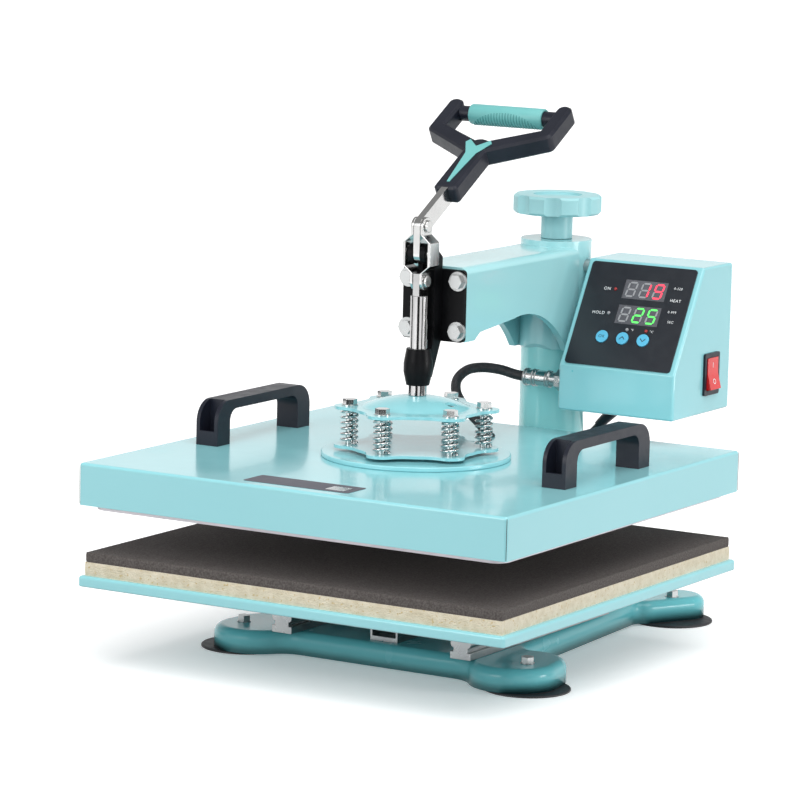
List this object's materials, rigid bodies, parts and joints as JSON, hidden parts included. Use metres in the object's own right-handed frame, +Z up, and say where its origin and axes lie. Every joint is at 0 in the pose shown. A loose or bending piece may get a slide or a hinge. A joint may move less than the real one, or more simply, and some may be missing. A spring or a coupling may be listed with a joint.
{
  "type": "heat press",
  "caption": "Swing-away combo heat press with a square sprung platen, toggle lever, control box, slide-out lower plate and coiled power cord",
  "frame": {"origin": "on the floor under the middle of the press, its cords left out", "axes": "+X to the right as one works at the press, +Y to the back towards the column, +Z up"},
  "size_m": [0.395, 0.713, 0.4502],
  "materials": {
    "mint_paint": "gloss",
    "black_paint": "satin",
    "zinc": "satin",
    "nickel": "polished",
    "brass": "satin",
    "bare_aluminium": "satin",
    "bare_aluminium_dark": "satin",
    "rubber": "matte",
    "silicone": "matte",
    "felt": "matte",
    "glass_wool": "matte",
    "black_plastic": "satin",
    "panel_film": "satin",
    "red_display": "gloss",
    "green_display": "gloss",
    "clear_lens": "gloss",
    "board_green": "satin",
    "red_plastic": "gloss",
    "blue_plastic": "gloss",
    "mint_plastic": "satin",
    "cable_sleeve": "matte",
    "cord_black": "satin"
  },
  "bodies": {
    "base": {"base_casting": "mint_paint", "rubber_feet": "rubber", "foot_bolts": "zinc", "column_post": "mint_paint", "column_nut": "brass", "rail_left": "zinc", "rail_right": "zinc", "center_channel": "bare_aluminium"},
    "drawer": {"lower_plate": "mint_paint", "felt_pad": "felt", "silicone_pad": "silicone", "slider_left": "bare_aluminium", "slider_right": "bare_aluminium", "guide_block": "black_plastic"},
    "carriage": {"lift_collar": "zinc"},
    "knob": {"pressure_knob": "mint_plastic", "pressure_screw": "zinc"},
    "arm": {"swing_arm": "mint_paint", "toggle_bracket": "black_paint", "bracket_bolts": "zinc", "fulcrum_pin": "nickel", "box_shell": "mint_paint", "box_back": "mint_paint", "box_spacers": "zinc", "control_panel": "panel_film", "temp_display": "red_display", "time_display": "green_display", "indicator_leds": "clear_lens", "controller_board": "board_green", "rocker_frame": "black_plastic", "aviation_socket": "zinc", "aviation_plug": "zinc", "heater_cable": "cable_sleeve", "cord_gland": "black_plastic", "power_cord": "cord_black", "cord_coil": "cord_black", "cord_tie": "black_plastic", "mains_plug": "cord_black"},
    "rocker": {"rocker": "red_plastic"},
    "button_set": {"button_set": "blue_plastic"},
    "button_up": {"button_up": "blue_plastic"},
    "button_down": {"button_down": "blue_plastic"},
    "lever": {"lever_bar": "nickel", "handle_yoke": "black_plastic", "handle_bar": "nickel", "handle_grip": "mint_plastic", "handle_inlay": "mint_plastic"},
    "links": {"link_plates": "nickel", "toggle_rivets": "nickel"},
    "plunger": {"plunger": "nickel", "plunger_nut": "zinc", "upper_spider": "mint_paint", "springs": "zinc"},
    "platen": {"lower_spider": "mint_paint", "mounting_disc": "mint_paint", "spring_bolts": "zinc", "platen_cover": "mint_paint", "insulation": "glass_wool", "heating_plate": "bare_aluminium_dark", "side_handles": "black_plastic"}
  },
  "joints": [
    {"name": "drawer_slide", "type": "slide", "parent": "base", "child": "drawer", "axis": [0, -1, 0], "range_m": [0, 0.18]},
    {"name": "arm_height", "type": "slide", "parent": "base", "child": "carriage", "axis": [0, 0, 1], "range_m": [0, 0.008]},
    {"name": "knob_turn", "type": "hinge", "parent": "carriage", "child": "knob", "pos_m": [0, 0.17475, 0.3358], "axis": [0, 0, 1], "range_deg": [0, 1440]},
    {"name": "arm_swing", "type": "hinge", "parent": "carriage", "child": "arm", "pos_m": [0, 0.17475, 0.2758], "axis": [0, 0, 1], "range_deg": [-90, 90]},
    {"name": "lever_turn", "type": "hinge", "parent": "arm", "child": "lever", "pos_m": [0, -0.05475, 0.3358], "axis": [1, 0, 0], "range_deg": [0, 180]},
    {"name": "link_turn", "type": "hinge", "parent": "lever", "child": "links", "pos_m": [0, -0.05475, 0.3583], "axis": [1, 0, 0], "range_deg": [-180, 0]},
    {"name": "plunger_slide", "type": "slide", "parent": "arm", "child": "plunger", "axis": [0, 0, -1], "range_m": [0, 0.045], "deforming": ["heater_cable"]},
    {"name": "platen_float", "type": "slide", "parent": "plunger", "child": "platen", "axis": [0, 0, 1], "range_m": [0, 0.0105], "deforming": ["springs"]},
    {"name": "rocker_tilt", "type": "hinge", "parent": "arm", "child": "rocker", "pos_m": [0.147, 0.18425, 0.2238], "axis": [0, 1, 0], "range_deg": [0, 15]},
    {"name": "press_set", "type": "slide", "parent": "arm", "child": "button_set", "axis": [0, 0.867, -0.4983], "range_m": [0, 0.0007], "stiffness_N_per_m": 900, "springref_m": -0.0004},
    {"name": "press_up", "type": "slide", "parent": "arm", "child": "button_up", "axis": [0, 0.867, -0.4983], "range_m": [0, 0.0007], "stiffness_N_per_m": 900, "springref_m": -0.0004},
    {"name": "press_down", "type": "slide", "parent": "arm", "child": "button_down", "axis": [0, 0.867, -0.4983], "range_m": [0, 0.0007], "stiffness_N_per_m": 900, "springref_m": -0.0004}
  ],
  "couplings": [
    {"joint": "knob_turn", "follows": "arm_height", "rad_per_m": 3141.6},
    {"joint": "lever_turn", "follows": "plunger_slide", "rad_per_m": 69.813},
    {"joint": "link_turn", "follows": "plunger_slide", "rad_per_m": -69.813},
    {"joint": "platen_float", "follows": "plunger_slide", "ratio": 0.23333}
  ]
}
